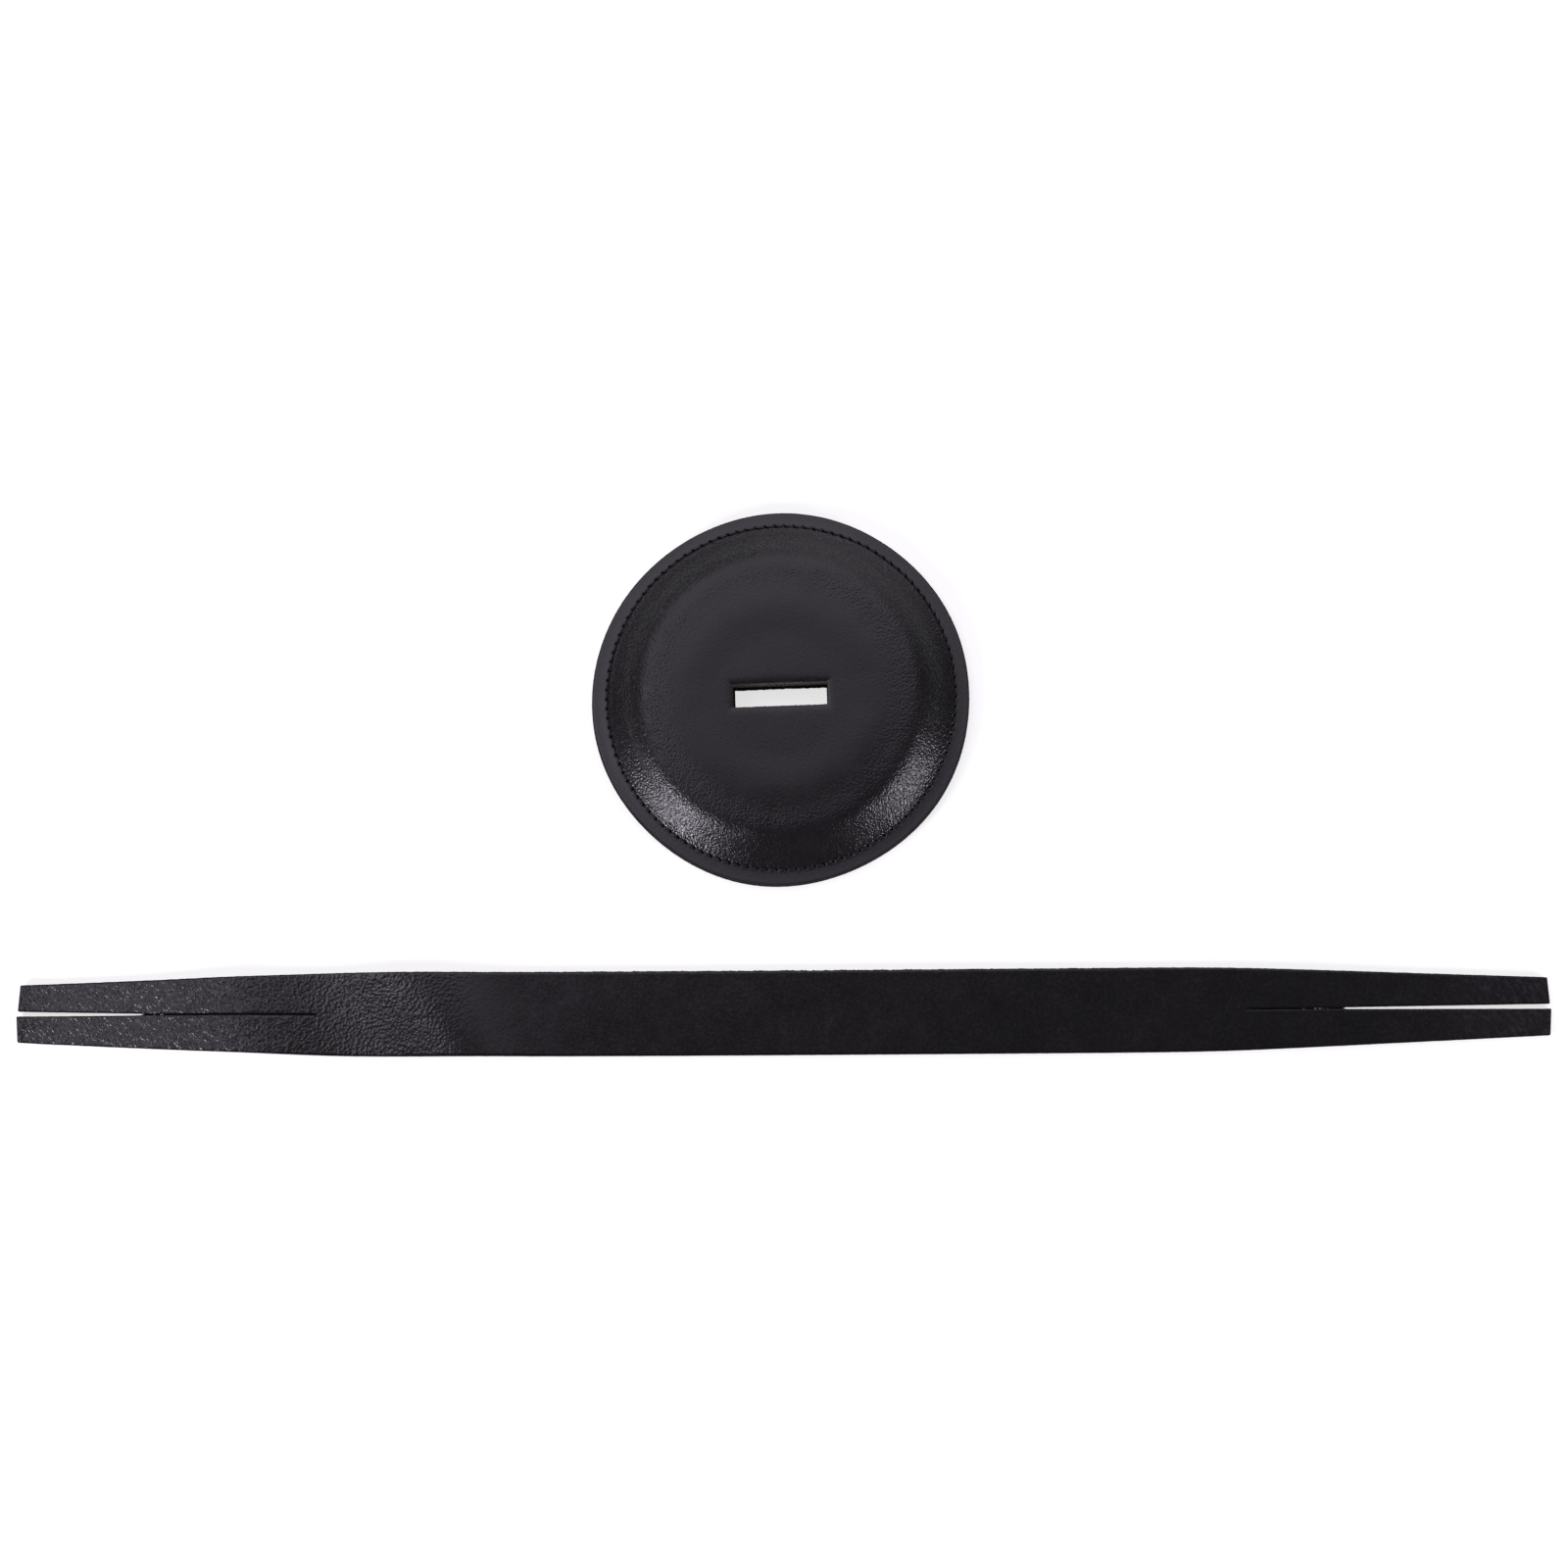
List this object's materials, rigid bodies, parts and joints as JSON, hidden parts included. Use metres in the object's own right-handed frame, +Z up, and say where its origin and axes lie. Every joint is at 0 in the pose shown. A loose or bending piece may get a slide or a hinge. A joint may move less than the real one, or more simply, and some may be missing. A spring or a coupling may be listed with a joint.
{
  "type": "hand cymbal pad and strap",
  "caption": "Padded round leather cymbal pad with a strap slot, and its leather hand strap whose slit ends make tails for the knot, lying flat.",
  "frame": {"origin": "bottom centre of the whole set's box, on the surface that the pad and the strap lie on", "axes": "+X along the strap, +Y from the strap towards the pad, +Z up, out of the dome's crown"},
  "size_m": [0.61, 0.2182, 0.015],
  "materials": {
    "pad_leather": "semi-gloss black moulded leather, fine pebble grain",
    "strap_leather": "semi-gloss black strap leather, creased grain, fibrous flesh side and cut edges",
    "felt": "grey-olive pressed wool felt",
    "thread": "black waxed bonded thread"
  },
  "bodies": {
    "pad": {"top_cover": "pad_leather", "felt_filler": "felt", "backing_disc": "pad_leather", "needle_thread": "thread", "bobbin_thread": "thread"},
    "strap_middle": {"strap_middle": "strap_leather"},
    "strap_left_arm": {"strap_left_arm": "strap_leather"},
    "strap_right_arm": {"strap_right_arm": "strap_leather"},
    "upper_left_tail": {"upper_left_tail": "strap_leather"},
    "lower_left_tail": {"lower_left_tail": "strap_leather"},
    "upper_right_tail": {"upper_right_tail": "strap_leather"},
    "lower_right_tail": {"lower_right_tail": "strap_leather"}
  },
  "joints": [
    {"name": "strap_lift", "type": "slide", "parent": "pad", "child": "strap_middle", "axis": [0, 0, 1], "range_m": [0, 0.12]},
    {"name": "left_arm_bend", "type": "hinge", "parent": "strap_middle", "child": "strap_left_arm", "pos_m": [-0.045, -0.09225, 0.0015], "axis": [0, 1, 0], "range_deg": [0, 70], "stiffness_Nm_per_rad": 0.01},
    {"name": "upper_left_tail_bend", "type": "hinge", "parent": "strap_left_arm", "child": "upper_left_tail", "pos_m": [-0.205, -0.09225, 0.0015], "axis": [0, 1, 0], "range_deg": [0, 75], "stiffness_Nm_per_rad": 0.004},
    {"name": "lower_left_tail_bend", "type": "hinge", "parent": "strap_left_arm", "child": "lower_left_tail", "pos_m": [-0.205, -0.09225, 0.0015], "axis": [0, 1, 0], "range_deg": [0, 75], "stiffness_Nm_per_rad": 0.004},
    {"name": "right_arm_bend", "type": "hinge", "parent": "strap_middle", "child": "strap_right_arm", "pos_m": [0.045, -0.09225, 0.0015], "axis": [0, -1, 0], "range_deg": [0, 70], "stiffness_Nm_per_rad": 0.01},
    {"name": "upper_right_tail_bend", "type": "hinge", "parent": "strap_right_arm", "child": "upper_right_tail", "pos_m": [0.205, -0.09225, 0.0015], "axis": [0, -1, 0], "range_deg": [0, 75], "stiffness_Nm_per_rad": 0.004},
    {"name": "lower_right_tail_bend", "type": "hinge", "parent": "strap_right_arm", "child": "lower_right_tail", "pos_m": [0.205, -0.09225, 0.0015], "axis": [0, -1, 0], "range_deg": [0, 75], "stiffness_Nm_per_rad": 0.004}
  ]
}
